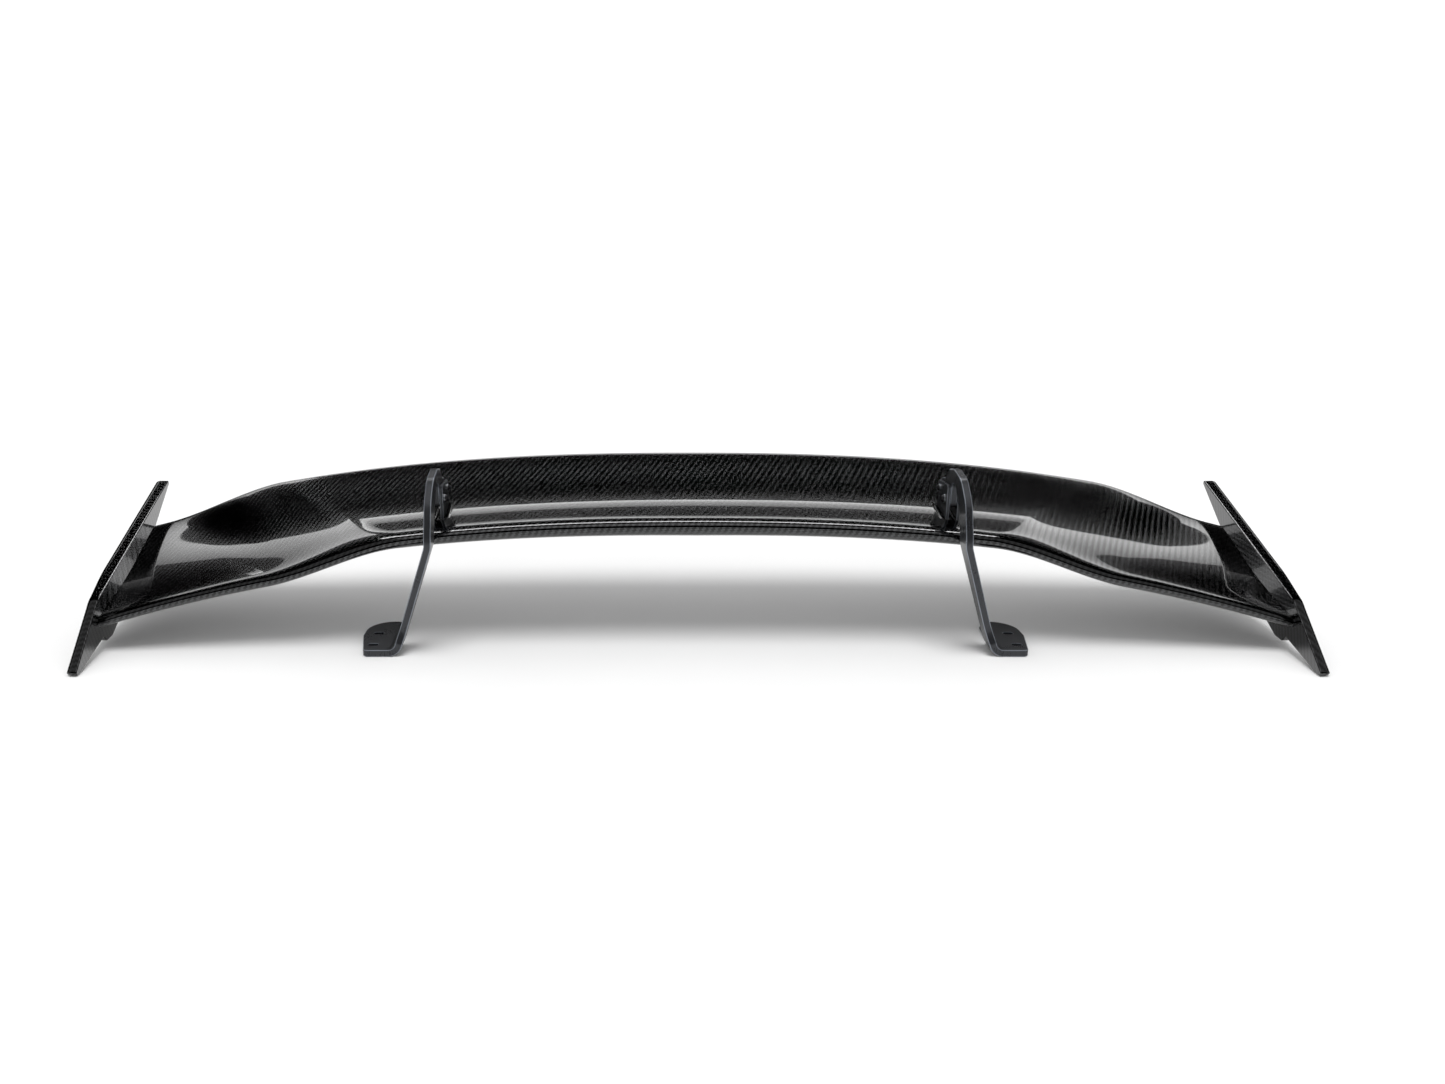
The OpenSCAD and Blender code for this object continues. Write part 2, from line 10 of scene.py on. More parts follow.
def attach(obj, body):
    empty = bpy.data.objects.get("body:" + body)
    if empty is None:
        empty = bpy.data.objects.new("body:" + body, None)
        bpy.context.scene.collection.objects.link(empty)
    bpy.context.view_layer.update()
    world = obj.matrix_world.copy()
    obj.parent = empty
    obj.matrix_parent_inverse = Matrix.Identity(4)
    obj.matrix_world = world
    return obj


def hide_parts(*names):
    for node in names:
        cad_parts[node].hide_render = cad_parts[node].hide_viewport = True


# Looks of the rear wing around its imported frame. Shapes are worked out in millimetres, in the
# frame's own axes (X across the car, +Y rearward, +Z up), and turned to metres as meshes are made.
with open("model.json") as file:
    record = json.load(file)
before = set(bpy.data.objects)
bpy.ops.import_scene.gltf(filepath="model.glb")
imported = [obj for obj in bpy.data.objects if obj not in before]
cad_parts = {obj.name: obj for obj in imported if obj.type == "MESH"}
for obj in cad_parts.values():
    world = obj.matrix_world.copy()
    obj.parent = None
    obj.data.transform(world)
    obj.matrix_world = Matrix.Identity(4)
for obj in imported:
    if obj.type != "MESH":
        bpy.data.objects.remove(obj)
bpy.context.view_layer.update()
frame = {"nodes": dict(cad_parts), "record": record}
MM = 0.001

# ---- sizes, as in the CAD source --------------------------------------------------------------
# c is a place along the chord, from 0 at the nose to 1 at the tail, and _R is a radius
HALF_SPAN, CHORD, SWEEP = 790.0, 239.0, 16.0
NOSE_Y, NOSE_Z, TAIL_Z = -13.0, 168.5, 211.5
THICK_MID, THICK_TIP, TAIL_T = 33.0, 25.0, 5.0
CAMBER_MID, CAMBER_TIP, CAMBER_POWER = 18.0, 14.0, 1.4
NOSE_DROOP, TAIL_DROOP, DROOP_POWER = 100.5, 82.5, 2.41
NOSE_DROP, TAIL_DROP = 27.0, 25.0
NOSE_BEND_X, TAIL_BEND_X, BEND_WIDTH = 380.0, 590.0, 180.0
FULL_C, NOSE_POWER, TAIL_POWER = 0.3, 2.4, 1.6      # thickest at FULL_C, and the taper from there
SKIN_T, BOND = 1.2, 0.25
PLATE_T, PLATE_BULGE, SWELL_Y0, SWELL_LEN = 16.0, 5.0, -30.0, 90.0
PLATE_SCREW_R, SCREW_GAP = 3.0, 0.1
INSERT_CS = (0.13, 0.38, 0.62)                      # screws of an end plate
UPRIGHT_T, UPRIGHT_X, LEAN_Z, LEAN_ANGLE = 9.5, 345.5, 155.0, 18.5
FOOT_BEND_R, LEAN_BEND_R = 15.0, 30.0
FOOT_X0, FOOT_X1, FOOT_TAPER = 449.0, 384.0, 9.0    # outboard and inboard ends of the foot
SLOT_SPAN, SLOT_PITCH, SLOT_LEN, SLOT_W = 858.0, 42.0, 14.0, 8.5
PIVOT = np.array([50.0, 192.0])                     # y and z
CLAMP = PIVOT + [28.0, 8.0]
PIVOT_R, CLAMP_R, ANGLE_RANGE = 3.0, 2.5, 5.0
EAR_T, EAR_GAP, SLOT_GAP = 4.0, 0.5, 0.3
EAR_Y0, EAR_Y1, EAR_TOP = 36.0, 89.0, (214.0, 208.5)
FLANGE_W, FLANGE_T, BRACKET_SCREW_R, SCREW_YS = 15.0, 4.0, 2.5, (45.0, 79.0)


def mix(a, b, k):
    return a + (b - a) * k


def ease(a):
    a = np.clip(a, 0, 1)
    return a * a * (3 - 2 * a)


# ---- surface of the plane ---------------------------------------------------------------------
def nose_y(x):
    return NOSE_Y - SWEEP * (x / HALF_SPAN) ** 2


def chord_line_z(x, c):
    return (mix(NOSE_Z, TAIL_Z, c)
            - mix(NOSE_DROOP, TAIL_DROOP, c) * np.abs(x / HALF_SPAN) ** DROOP_POWER
            - mix(NOSE_DROP, TAIL_DROP, c)
            * ease((np.abs(x) - mix(NOSE_BEND_X, TAIL_BEND_X, c)) / BEND_WIDTH))


def camber(x, c):
    peak = 1 / (1 + CAMBER_POWER)
    shape = c * np.maximum(1 - c, 0) ** CAMBER_POWER
    return (-mix(CAMBER_MID, CAMBER_TIP, np.abs(x) / HALF_SPAN)
            * shape / (peak * (1 - peak) ** CAMBER_POWER))


def half_t(x, c):
    thick = mix(THICK_MID, THICK_TIP, np.abs(x) / HALF_SPAN)
    front = (1 - (1 - np.minimum(c / FULL_C, 1)) ** NOSE_POWER) ** (1 / NOSE_POWER)
    back = np.maximum(c - FULL_C, 0) / (1 - FULL_C)
    return thick / 2 * np.where(c < FULL_C, front, 1 - (1 - TAIL_T / thick) * back ** TAIL_POWER)


def surface(x, u):
    """Points of the plane at stations x and u: u is -1 at the tail below, 0 at the nose and 1 at
    the tail above."""
    x, u = np.broadcast_arrays(np.asarray(x, float), np.asarray(u, float))
    c = u * u
    side = np.where(u < 0, -1, 1)
    z = chord_line_z(x, c) + camber(x, c) + side * half_t(x, c)
    return np.stack([x, nose_y(x) + c * CHORD, z], -1)


def top_z(x, y):
    return surface(x, math.sqrt((y - nose_y(x)) / CHORD))[..., 2]


def unit(v):
    return v / np.maximum(np.linalg.norm(v, axis=-1, keepdims=True), 1e-12)


def arc_length(points):
    """Distance of each point from its row's first, along the row."""
    steps = np.linalg.norm(np.diff(points, axis=-2), axis=-1)
    return np.cumsum(np.concatenate([np.zeros_like(steps[..., :1]), steps], -1), -1)


def surface_normal(x, u):
    """Outward normals at the same stations."""
    du, dx = 0.003, 1.0
    along_u = surface(x, np.clip(u + du, -1, 1)) - surface(x, np.clip(u - du, -1, 1))
    along_x = surface(x + dx, u) - surface(x - dx, u)
    return unit(np.cross(along_x, along_u))


# ---- meshes -----------------------------------------------------------------------------------
def linked(name, data):
    """Object with this data, put in the scene."""
    made = bpy.data.objects.new(name, data)
    bpy.context.scene.collection.objects.link(made)
    return made


def make_piece(name, verts, faces, face_uvs, face_normals, rims, mirrored):
    """Mesh object in metres, with a UV and a normal for each corner of each face. rims says how
    much each point is on a rounded edge, from 0 to 1."""
    verts = np.array(verts, float)
    faces = [list(f) for f in faces]
    if mirrored:
        verts[:, 0] *= -1
        faces = [f[::-1] for f in faces]
        face_uvs = [[(-u, v) for u, v in f[::-1]] for f in face_uvs]
        face_normals = [[(-n[0], n[1], n[2]) for n in f[::-1]] for f in face_normals]
    mesh = bpy.data.meshes.new(name)
    mesh.from_pydata((verts * MM).tolist(), [], faces)
    mesh.polygons.foreach_set("use_smooth", [True] * len(faces))
    uv = mesh.uv_layers.new(name="cloth")
    uv.data.foreach_set("uv", (np.array([p for f in face_uvs for p in f], float) * MM).ravel())
    mesh.normals_split_custom_set([tuple(n) for f in face_normals for n in f])
    rim = mesh.attributes.new("rim", "FLOAT", "POINT")
    rim.data.foreach_set("value", rims)
    mesh.update()
    return linked(name, mesh)


def flat_normal(points):
    """Normal of one face, from its corners."""
    p = np.asarray(points)
    return unit(sum(np.cross(p[i] - p[0], p[i + 1] - p[0]) for i in range(1, len(p) - 1)))


# ---- skins ------------------------------------------------------------------------------------
CHORD_STEPS, SPAN_STEPS = 60, 236
# inboard face of the inner and of the outer ear of the left mount
EAR_XS = (UPRIGHT_X - UPRIGHT_T / 2 - EAR_GAP - EAR_T, UPRIGHT_X + UPRIGHT_T / 2 + EAR_GAP)


def slot_stations():
    """X limits of the ear slots on the left side, and their two u limits."""
    xs = [(x - SLOT_GAP, x + EAR_T + SLOT_GAP) for x in EAR_XS]
    us = [math.sqrt((y - nose_y(UPRIGHT_X)) / CHORD)
          for y in (EAR_Y0 - SLOT_GAP, EAR_Y1 + SLOT_GAP)]
    return xs, us


def with_stations(values, extra):
    """Sorted values with the extra ones put in, each in place of its nearest neighbour."""
    values = np.array(values, float)
    for e in extra:
        gap = np.abs(values - e)
        if gap.min() < 0.35 * np.diff(np.sort(values)).mean():
            values[gap.argmin()] = e
        else:
            values = np.append(values, e)
    return np.sort(values)


def skin(name, side):
    """One carbon skin as a closed shell: outer face, inner face, tail rim and two end rims."""
    slot_xs, slot_us = slot_stations()
    edges = [s * x for s in (-1, 1) for pair in slot_xs for x in pair]
    end = HALF_SPAN - BOND
    xs = with_stations(np.linspace(-end, end, SPAN_STEPS + 1), edges if side > 0 else [])
    last_u = 1.0 if side > 0 else math.sqrt(1 - (SKIN_T + BOND) / CHORD)
    us = np.linspace(0, last_u, CHORD_STEPS + 1)
    if side > 0:
        us = with_stations(us, slot_us)
    xg, ug = np.meshgrid(xs, side * us, indexing="ij")
    nx, nu = xg.shape
    outer = surface(xg, ug)
    normal = surface_normal(xg, ug)
    normal[:, 0] = unit(normal[:, 0] * [1, 1, 0])
    if side < 0:
        outer[:, 0, 2] -= BOND
    inward = unit(-normal * [0, 1, 1])
    inner = outer + inward * SKIN_T
    # UV in millimetres of cloth: along the span from the middle, and round the nose from its edge
    arc_t = arc_length(outer)
    arc_s = arc_length(outer[:, nu // 2])
    arc_s -= arc_s[-1] / 2
    uv = np.stack([np.repeat(arc_s[:, None], nu, 1), side * arc_t], -1)
    # one closed ring of points at each station: outer face, tail rim, and inner face back again
    verts, uvs, normals = [outer], [uv], [normal]
    if side > 0:   # the upper skin turns down at the tail and closes it
        low = surface(xs, -1.0)
        tail = outer[:, -1].copy()
        tail[:, 2] = low[:, 2]
        foot = tail - [0, SKIN_T, 0]
        inner[:, -1, 1] = outer[:, -1, 1] - SKIN_T
        rim = np.stack([tail, foot], 1)
        rim_uv = uv[:, -1:, :] + np.array([[0, TAIL_T], [0, TAIL_T + SKIN_T]])
        verts.append(rim)
        uvs.append(rim_uv)
        normals.append(np.repeat(normal[:, -1:], 2, 1))
    verts.append(inner[:, ::-1])
    uvs.append(uv[:, ::-1])
    normals.append(-normal[:, ::-1])
    ring = np.concatenate(verts, 1)
    ring_uv, ring_n = np.concatenate(uvs, 1), np.concatenate(normals, 1)
    nr = ring.shape[1]
    index = np.arange(nx * nr).reshape(nx, nr)
    points, flat_uv, flat_n = ring.reshape(-1, 3), ring_uv.reshape(-1, 2), ring_n.reshape(-1, 3)
    faces, face_uvs, face_normals = [], [], []

    def add(corner_ids, smooth):
        """Face with the surface's own normals if smooth, or with one flat normal."""
        ids = list(corner_ids) if side > 0 else list(corner_ids)[::-1]
        faces.append(ids)
        face_uvs.append([tuple(flat_uv[i]) for i in ids])
        n = None if smooth else tuple(flat_normal(points[ids]))
        face_normals.append([tuple(flat_n[i]) if smooth else n for i in ids])

    def in_slot(i, j):
        """Whether a cell of the upper skin is open for an ear."""
        x, u = abs(xs[i] + xs[i + 1]) / 2, (us[j] + us[j + 1]) / 2
        return (side > 0 and slot_us[0] < u < slot_us[1]
                and any(a < x < b for a, b in slot_xs))

    def inside_of(i, j):
        """The inner point behind an outer one."""
        return index[i, nr - 1 - j]

    for i in range(nx - 1):         # the faces round each ring, without the slots
        for j in range(nr):
            k = (j + 1) % nr
            on_outer, on_inner = j < nu - 1, nr - nu <= j < nr - 1
            cell = j if on_outer else nr - 2 - j
            if (on_outer or on_inner) and in_slot(i, cell):
                continue
            add((index[i, j], index[i + 1, j], index[i + 1, k], index[i, k]), on_outer or on_inner)
    for i in (0, nx - 1):           # the two end rims
        for j in range(nr // 2 if side > 0 else nu - 1):
            quad = (index[i, j], index[i, j + 1], inside_of(i, j + 1), inside_of(i, j))
            add(quad if i == 0 else quad[::-1], False)
    for i in range(nx - 1):         # the walls of the slots, through the skin
        for j in range(nu - 1):
            if not in_slot(i, j):
                continue
            p00, p01, p10, p11 = (i, j), (i, j + 1), (i + 1, j), (i + 1, j + 1)
            for di, dj, a, b in ((-1, 0, p00, p01), (1, 0, p11, p10),
                                 (0, -1, p10, p00), (0, 1, p01, p11)):
                if not in_slot(i + di, j + dj):
                    add((index[a], index[b], inside_of(*b), inside_of(*a)), False)
    return make_piece(name, points, faces, face_uvs, face_normals, np.zeros(len(points)), False)


# ---- outlines ---------------------------------------------------------------------------------
def corner_arc(before, corner, after, r, turn):
    """Arc of radius r that rounds a corner, with a point at least every turn degrees."""
    before, corner, after = (np.array(p, float) for p in (before, corner, after))
    u, v = unit(before - corner), unit(after - corner)
    half = math.acos(float(np.clip(u @ v, -1, 1))) / 2
    hub, reach = corner + unit(u + v) * r / math.sin(half), r / math.tan(half)
    start, stop = unit(corner + u * reach - hub), unit(corner + v * reach - hub)
    steps = max(3, math.ceil((180 - 2 * math.degrees(half)) / turn))
    return [hub + r * unit(mix(start, stop, i / steps)) for i in range(steps + 1)]


def rounded(corners, turn=6.0):
    """Outline through (a, b, r) corners, each rounded with an arc of radius r."""
    out = []
    n = len(corners)
    for k, (a, b, r) in enumerate(corners):
        if r == 0:
            out.append(np.array([a, b], float))
        else:
            out += corner_arc(corners[k - 1][:2], (a, b), corners[(k + 1) % n][:2], r, turn)
    return np.array(out)


def resample(loop, longest):
    """The same outline with no edge longer than this, and no two corners on top of each other."""
    out = []
    for a, b in zip(loop, np.roll(loop, -1, 0)):
        length = np.linalg.norm(b - a)
        if length < 0.02:
            continue
        steps = max(1, math.ceil(length / longest))
        out += [mix(a, b, i / steps) for i in range(steps)]
    return np.array(out)


def circle(centre, r, n=40):
    t = np.linspace(0, 2 * math.pi, n, endpoint=False)
    return np.array(centre) + r * np.stack([np.cos(t), np.sin(t)], -1)


def area(loop):
    """Signed area, positive for a loop that runs anticlockwise."""
    a, b = loop, np.roll(loop, -1, 0)
    return ((a[:, 0] * b[:, 1] - a[:, 1] * b[:, 0]).sum()) / 2


def into_material(loop):
    """Unit vectors that point into the material at each corner of a loop run material-on-left."""
    edge = unit(np.roll(loop, -1, 0) - loop)
    left = np.stack([-edge[:, 1], edge[:, 0]], -1)
    return unit(left + np.roll(left, 1, 0))


def distance(points, loop):
    """Distance of each point to a loop, and the unit vector towards its nearest point there."""
    a = loop
    ab = np.roll(loop, -1, 0) - a
    rel = points[:, None] - a[None]
    t = np.clip((rel * ab).sum(-1) / (ab * ab).sum(-1), 0, 1)
    gap = t[..., None] * ab - rel
    d = np.linalg.norm(gap, axis=-1)
    k = d.argmin(1)
    rows = np.arange(len(points))
    return d[rows, k], unit(gap[rows, k])


def inside(points, loop):
    """Which points lie inside a loop, from how often a line from each one crosses it."""
    a, b = loop, np.roll(loop, -1, 0)
    y, x = points[:, 1:2], points[:, 0:1]
    crosses = (a[:, 1] > y) != (b[:, 1] > y)
    dy = np.where(b[:, 1] == a[:, 1], 1, b[:, 1] - a[:, 1])
    at = (b[:, 0] - a[:, 0]) * (y - a[:, 1]) / dy + a[:, 0]
    return ((crosses & (x < at)).sum(1) % 2) == 1


def in_region(points, loops):
    """Which points lie inside the first loop and outside the others."""
    within = inside(points, loops[0])
    for hole in loops[1:]:
        within &= ~inside(points, hole)
    return within


# ---- plates with rounded edges ----------------------------------------------------------------
GRID_CLEAR = 0.45      # gap between the grid and the rounded edges, in grid steps
RING_CLEAR = 0.97      # a ring's points keep this much of their own distance from every edge


def face_mesh(loops, radii, step, rings):
    """Points, triangles, depth below the face, outward lean and UV of one face of a plate whose
    edges are rounded with the given radii."""
    # candidate points with how far they must stay from every edge: rings down each rounded edge,
    # and a staggered grid, marked -1, on the flat
    spare = []
    for loop, r in zip(loops, radii):
        into = into_material(loop)
        for k in range(1, rings + 1):
            d = r * (1 - math.cos(math.pi / 2 * k / rings))
            clear = np.full(len(loop), RING_CLEAR * d)
            spare.append(np.column_stack([loop + into * d, clear]))
    lo, hi = loops[0].min(0), loops[0].max(0)
    grid = np.stack(np.meshgrid(np.arange(lo[0], hi[0], step), np.arange(lo[1], hi[1], step),
                                indexing="ij"), -1).reshape(-1, 2)
    grid[:, 1] += step / 2 * (np.round((grid[:, 0] - lo[0]) / step) % 2)
    spare.append(np.column_stack([grid, np.full(len(grid), -1)]))
    spare = np.concatenate(spare)
    spare = spare[in_region(spare[:, :2], loops)]
    for loop, r in zip(loops, radii):
        d, _ = distance(spare[:, :2], loop)
        wanted = np.where(spare[:, 2] < 0, r + GRID_CLEAR * step, spare[:, 2])
        spare = spare[d >= wanted]
    points = np.concatenate(loops + [spare[:, :2]])
    # triangles between all points, kept where they are in the material and turned anticlockwise
    edges, start = [], 0
    for loop in loops:
        n = len(loop)
        edges += [(start + i, start + (i + 1) % n) for i in range(n)]
        start += n
    made = delaunay_2d_cdt([Vector(p) for p in points], edges, [], 0, 1e-5, True)
    assert len(made[0]) == len(points), "two points of a face coincide"
    tris = np.array(made[2])
    a, b, c = points[tris[:, 0]], points[tris[:, 1]], points[tris[:, 2]]
    keep = in_region((a + b + c) / 3, loops)
    cross = (b - a)[:, 0] * (c - a)[:, 1] - (b - a)[:, 1] * (c - a)[:, 0]
    tris = np.where((cross > 0)[:, None], tris, tris[:, ::-1])[keep]
    # near an edge the face drops and leans out, and the cloth's UV counts the way round the edge
    depth, shift = np.zeros(len(points)), np.zeros((len(points), 2))
    lean = np.zeros((len(points), 3))
    lean[:, 2] = 1
    start = 0
    for loop, r in zip(loops, radii):
        d, towards = distance(points, loop)
        own = slice(start, start + len(loop))
        d[own], towards[own] = 0, -into_material(loop)
        start += len(loop)
        phi = np.arccos(np.clip(1 - d / r, 0, 1))
        near = d < r
        depth[near] = (r * (1 - np.sin(phi)))[near]
        lean[near] = np.column_stack([towards * np.cos(phi)[:, None], np.sin(phi)])[near]
        extra = r * (math.pi / 2 - phi) - (r - d)
        shift[near] = (towards * extra[:, None])[near]
    return points, tris, depth, lean, points + shift


def plate_parts(loops, radii, place, step, rings=4):
    """Points, faces, UVs, normals and rims of a closed plate. loops[0] is its outline and the
    others its holes; radii holds each loop's (low, high) edge radius; place(points, drop, high)
    gives the positions of points that lie drop below the low or the high face, and the three
    axes there."""
    loops = [lp if (area(lp) > 0) == (k == 0) else lp[::-1] for k, lp in enumerate(loops)]
    verts, faces, face_uvs, face_normals, rims, sides = [], [], [], [], [], []
    for high in (False, True):
        points, tris, depth, lean, uv = face_mesh(loops, [r[high] for r in radii], step, rings)
        pos, e1, e2, e3 = place(points, depth, high)
        up = 1 if high else -1
        normal = unit(lean[:, :1] * e1 + lean[:, 1:2] * e2 + up * lean[:, 2:] * e3)
        base = sum(len(v) for v in verts)
        if not high:
            tris = tris[:, ::-1]
        verts.append(pos)
        rims.append(2 * np.linalg.norm(lean[:, :2], axis=1) * lean[:, 2])
        sides.append((base, normal, uv))
        faces += (tris + base).tolist()
        face_uvs += [[tuple(uv[i]) for i in t] for t in tris]
        face_normals += [[tuple(normal[i]) for i in t] for t in tris]
    (low0, low_n, _), (high0, high_n, high_uv) = sides
    verts, rims = np.concatenate(verts), np.concatenate(rims)
    start = 0
    for loop in loops:              # the walls between the two faces
        n = len(loop)
        away = -into_material(loop)
        for i in range(n):
            a, b = start + i, start + (i + 1) % n
            ids = (low0 + a, low0 + b, high0 + b, high0 + a)
            down = [np.linalg.norm(verts[high0 + k] - verts[low0 + k]) for k in (a, b)]
            uv = (high_uv[a] + away[i] * down[0], high_uv[b] + away[(i + 1) % n] * down[1],
                  high_uv[b], high_uv[a])
            faces.append(ids)
            face_uvs.append([tuple(p) for p in uv])
            face_normals.append([tuple(low_n[a]), tuple(low_n[b]), tuple(high_n[b]),
                                 tuple(high_n[a])])
        start += n
    return verts, faces, face_uvs, face_normals, rims


def plate(name, loops, radii, place, step, mirrored, rings=4):
    """Object of one plate."""
    return make_piece(name, *plate_parts(loops, radii, place, step, rings), mirrored)


def constant(v, n):
    """The same vector n times."""
    return np.tile(np.array(v, float), (n, 1))


# ---- end plates -------------------------------------------------------------------------------
PLATE_OUTLINE = [                   # y, z and corner radius
    (-100, 0, 8), (-118, 0, 4), (-17, 72, 40), (309, 162.4, 3.5), (213, 103, 30), (125, 50, 120),
    (36, 17, 12), (16, 8.5, 10), (-4, 8, 6), (-13, 17, 5)]
INNER_EDGE_R, OUTER_EDGE_R, INNER_HOLE_R, OUTER_HOLE_R = 1.6, 9.0, 0.2, 0.4
PLATE_EDGE_STEP, PLATE_GRID, PLATE_RINGS = 3.0, 7.0, 7


def plate_out(y):
    """X of the outer face, which swells out behind the toe."""
    return HALF_SPAN + PLATE_T + PLATE_BULGE * ease((y - SWELL_Y0) / SWELL_LEN)


def tip_mid(c):
    """Y and z of the middle of the plane's thickness at its end."""
    x = HALF_SPAN
    return np.array([nose_y(x) + c * CHORD, float(chord_line_z(x, c) + camber(x, c))])


def place_end_plate(points, drop, high):
    """Puts the outline's y and z on the inner, flat face or on the outer, swelling one."""
    n = len(points)
    x = plate_out(points[:, 0]) - drop if high else HALF_SPAN + drop
    pos = np.column_stack([np.broadcast_to(x, n), points])
    y = points[:, 0]
    slope = plate_out(y + 0.5) - plate_out(y - 0.5) if high else 0     # over 1 mm
    e1 = unit(np.column_stack([np.broadcast_to(slope, n), np.ones(n), np.zeros(n)]))
    e2 = constant((0, 0, 1), n)
    return pos, e1, e2, np.cross(e1, e2)


def end_plate(name, mirrored):
    outline = resample(rounded(PLATE_OUTLINE), PLATE_EDGE_STEP)
    holes = [circle(tip_mid(c), 2 * PLATE_SCREW_R + SCREW_GAP) for c in INSERT_CS]
    radii = [(INNER_EDGE_R, OUTER_EDGE_R)] + [(INNER_HOLE_R, OUTER_HOLE_R)] * len(holes)
    return plate(name, [outline] + holes, radii, place_end_plate, PLATE_GRID, mirrored,
                 rings=PLATE_RINGS)


# ---- uprights ---------------------------------------------------------------------------------
# The bent plate's middle line, seen from the front: down the neck, out along the leg, and along
# the foot. It runs a little past the plate's own ends.
BEND_TURN = 2.0
knee = (UPRIGHT_X + (LEAN_Z - UPRIGHT_T / 2) * math.tan(math.radians(LEAN_ANGLE)), UPRIGHT_T / 2)
path_top, path_lean = (UPRIGHT_X, 260.0), (UPRIGHT_X, LEAN_Z)
path_end = (FOOT_X0 + 5, UPRIGHT_T / 2)
path = np.array([path_top] + corner_arc(path_top, path_lean, knee, LEAN_BEND_R, BEND_TURN)
                + corner_arc(path_lean, knee, path_end, FOOT_BEND_R, BEND_TURN) + [path_end])
path_s = arc_length(path)
heading = np.gradient(path, path_s, axis=0)
heading[0], heading[-1] = (0, -1), (1, 0)


def s_at_z(z):
    """Distance along the bent plate at a height of its middle line, above the foot."""
    return float(np.interp(-z, -path[:, 1], path_s))


def s_at_x(x):
    """Distance along the bent plate at a place on the foot."""
    return path_s[-1] - (path_end[0] - x)


def place_upright(points, drop, high):
    """Bends a flat outline, given by distance along the plate and y, along the middle line."""
    s = points[:, 0]
    mid = np.column_stack([np.interp(s, path_s, path[:, k]) for k in (0, 1)])
    along = unit(np.column_stack([np.interp(s, path_s, heading[:, k]) for k in (0, 1)]))
    out = np.column_stack([-along[:, 1], along[:, 0]])
    h = (UPRIGHT_T / 2 - drop) * (1 if high else -1)
    xz = mid + out * h[:, None]
    zero = np.zeros(len(s))
    pos = np.column_stack([xz[:, 0], points[:, 1], xz[:, 1]])
    e1 = np.column_stack([along[:, 0], zero, along[:, 1]])
    e3 = np.column_stack([out[:, 0], zero, out[:, 1]])
    return pos, e1, constant((0, 1, 0), len(s)), e3


HOLE_GAP, SLOT_PLAY, SLOT_OVERRUN = 0.05, 0.4, 0.3     # mm, mm and degrees
UPRIGHT_EDGE_R, HOLE_EDGE_R, FOOT_SLOT_EDGE_R = 1.3, 0.3, 0.6
UPRIGHT_EDGE_STEP, FOOT_SLOT_STEP, UPRIGHT_GRID = 2.0, 3.0, 3.0
NECK_OUTLINE = [                    # y, z and corner radius: up the front, round the hook, down
    (-41.8, 18, 0), (-33, 34, 40), (-61, 160, 40), (-40, 210, 45), (-9, 233, 40), (30, 238, 40),
    (54, 232, 14), (70, 216, 16), (95, 210, 10), (88, 188, 10), (60, 183, 8), (38, 182, 6),
    (34, 218, 9), (16, 219, 12), (-10, 193, 30), (-26, 160, 30), (-2, 14, 20)]
FOOT_OUTLINE = [                    # y, x and corner radius
    (-2, 389.6, 4), (4, FOOT_X1 + 14, 12), (67, FOOT_X1 + 18, 8), (67, FOOT_X0 - 2, 36),
    (14, FOOT_X0, 12), (-42, FOOT_X0 - FOOT_TAPER - 1, 7)]


def arc_slot():
    """Slot for the clamp bolt, an arc round the pivot."""
    arm = float(np.linalg.norm(CLAMP - PIVOT))
    rest = math.atan2(CLAMP[1] - PIVOT[1], CLAMP[0] - PIVOT[0])
    swing = math.radians(ANGLE_RANGE + SLOT_OVERRUN)
    a0, a1 = rest - swing, rest + swing
    w = CLAMP_R + SLOT_PLAY

    def polar(centre, r, t):
        return np.array(centre) + r * np.array([math.cos(t), math.sin(t)])

    ends = [polar(PIVOT, arm, a) for a in (a0, a1)]
    loop = [polar(PIVOT, arm + w, mix(a0, a1, i / 6)) for i in range(7)]
    loop += [polar(ends[1], w, a1 + math.pi * i / 14) for i in range(1, 14)]
    loop += [polar(PIVOT, arm - w, mix(a1, a0, i / 6)) for i in range(7)]
    loop += [polar(ends[0], w, a0 + math.pi * (1 + i / 14)) for i in range(1, 14)]
    return np.array([(s_at_z(z), y) for y, z in loop])


def foot_slot(y):
    """Slot in the foot, long across the car."""
    half = (SLOT_LEN - SLOT_W) / 2
    centre = (s_at_x(SLOT_SPAN / 2), y)
    corners = [(centre[0] + sx * (half + SLOT_W / 2), y + sy * SLOT_W / 2, SLOT_W / 2 - 0.01)
               for sx, sy in ((-1, -1), (1, -1), (1, 1), (-1, 1))]
    return resample(rounded(corners, 12), FOOT_SLOT_STEP)


def upright(name, mirrored):
    outline = rounded([(s_at_z(z), y, r) for y, z, r in NECK_OUTLINE]
                      + [(s_at_x(x), y, r) for y, x, r in FOOT_OUTLINE])
    pivot_hole = circle((s_at_z(PIVOT[1]), PIVOT[0]), PIVOT_R + HOLE_GAP)
    foot_slots = [foot_slot(side * SLOT_PITCH / 2) for side in (-1, 1)]
    loops = [resample(outline, UPRIGHT_EDGE_STEP), pivot_hole, arc_slot()] + foot_slots
    radii = [(r, r) for r in (UPRIGHT_EDGE_R, HOLE_EDGE_R, HOLE_EDGE_R, FOOT_SLOT_EDGE_R,
                              FOOT_SLOT_EDGE_R)]
    return plate(name, loops, radii, place_upright, UPRIGHT_GRID, mirrored)


# ---- brackets ---------------------------------------------------------------------------------
FOOT_DROP = SKIN_T + 2 * BOND       # from the skin's outer face to the bracket's foot under it
MOUNT_Y = (EAR_Y0 + EAR_Y1) / 2
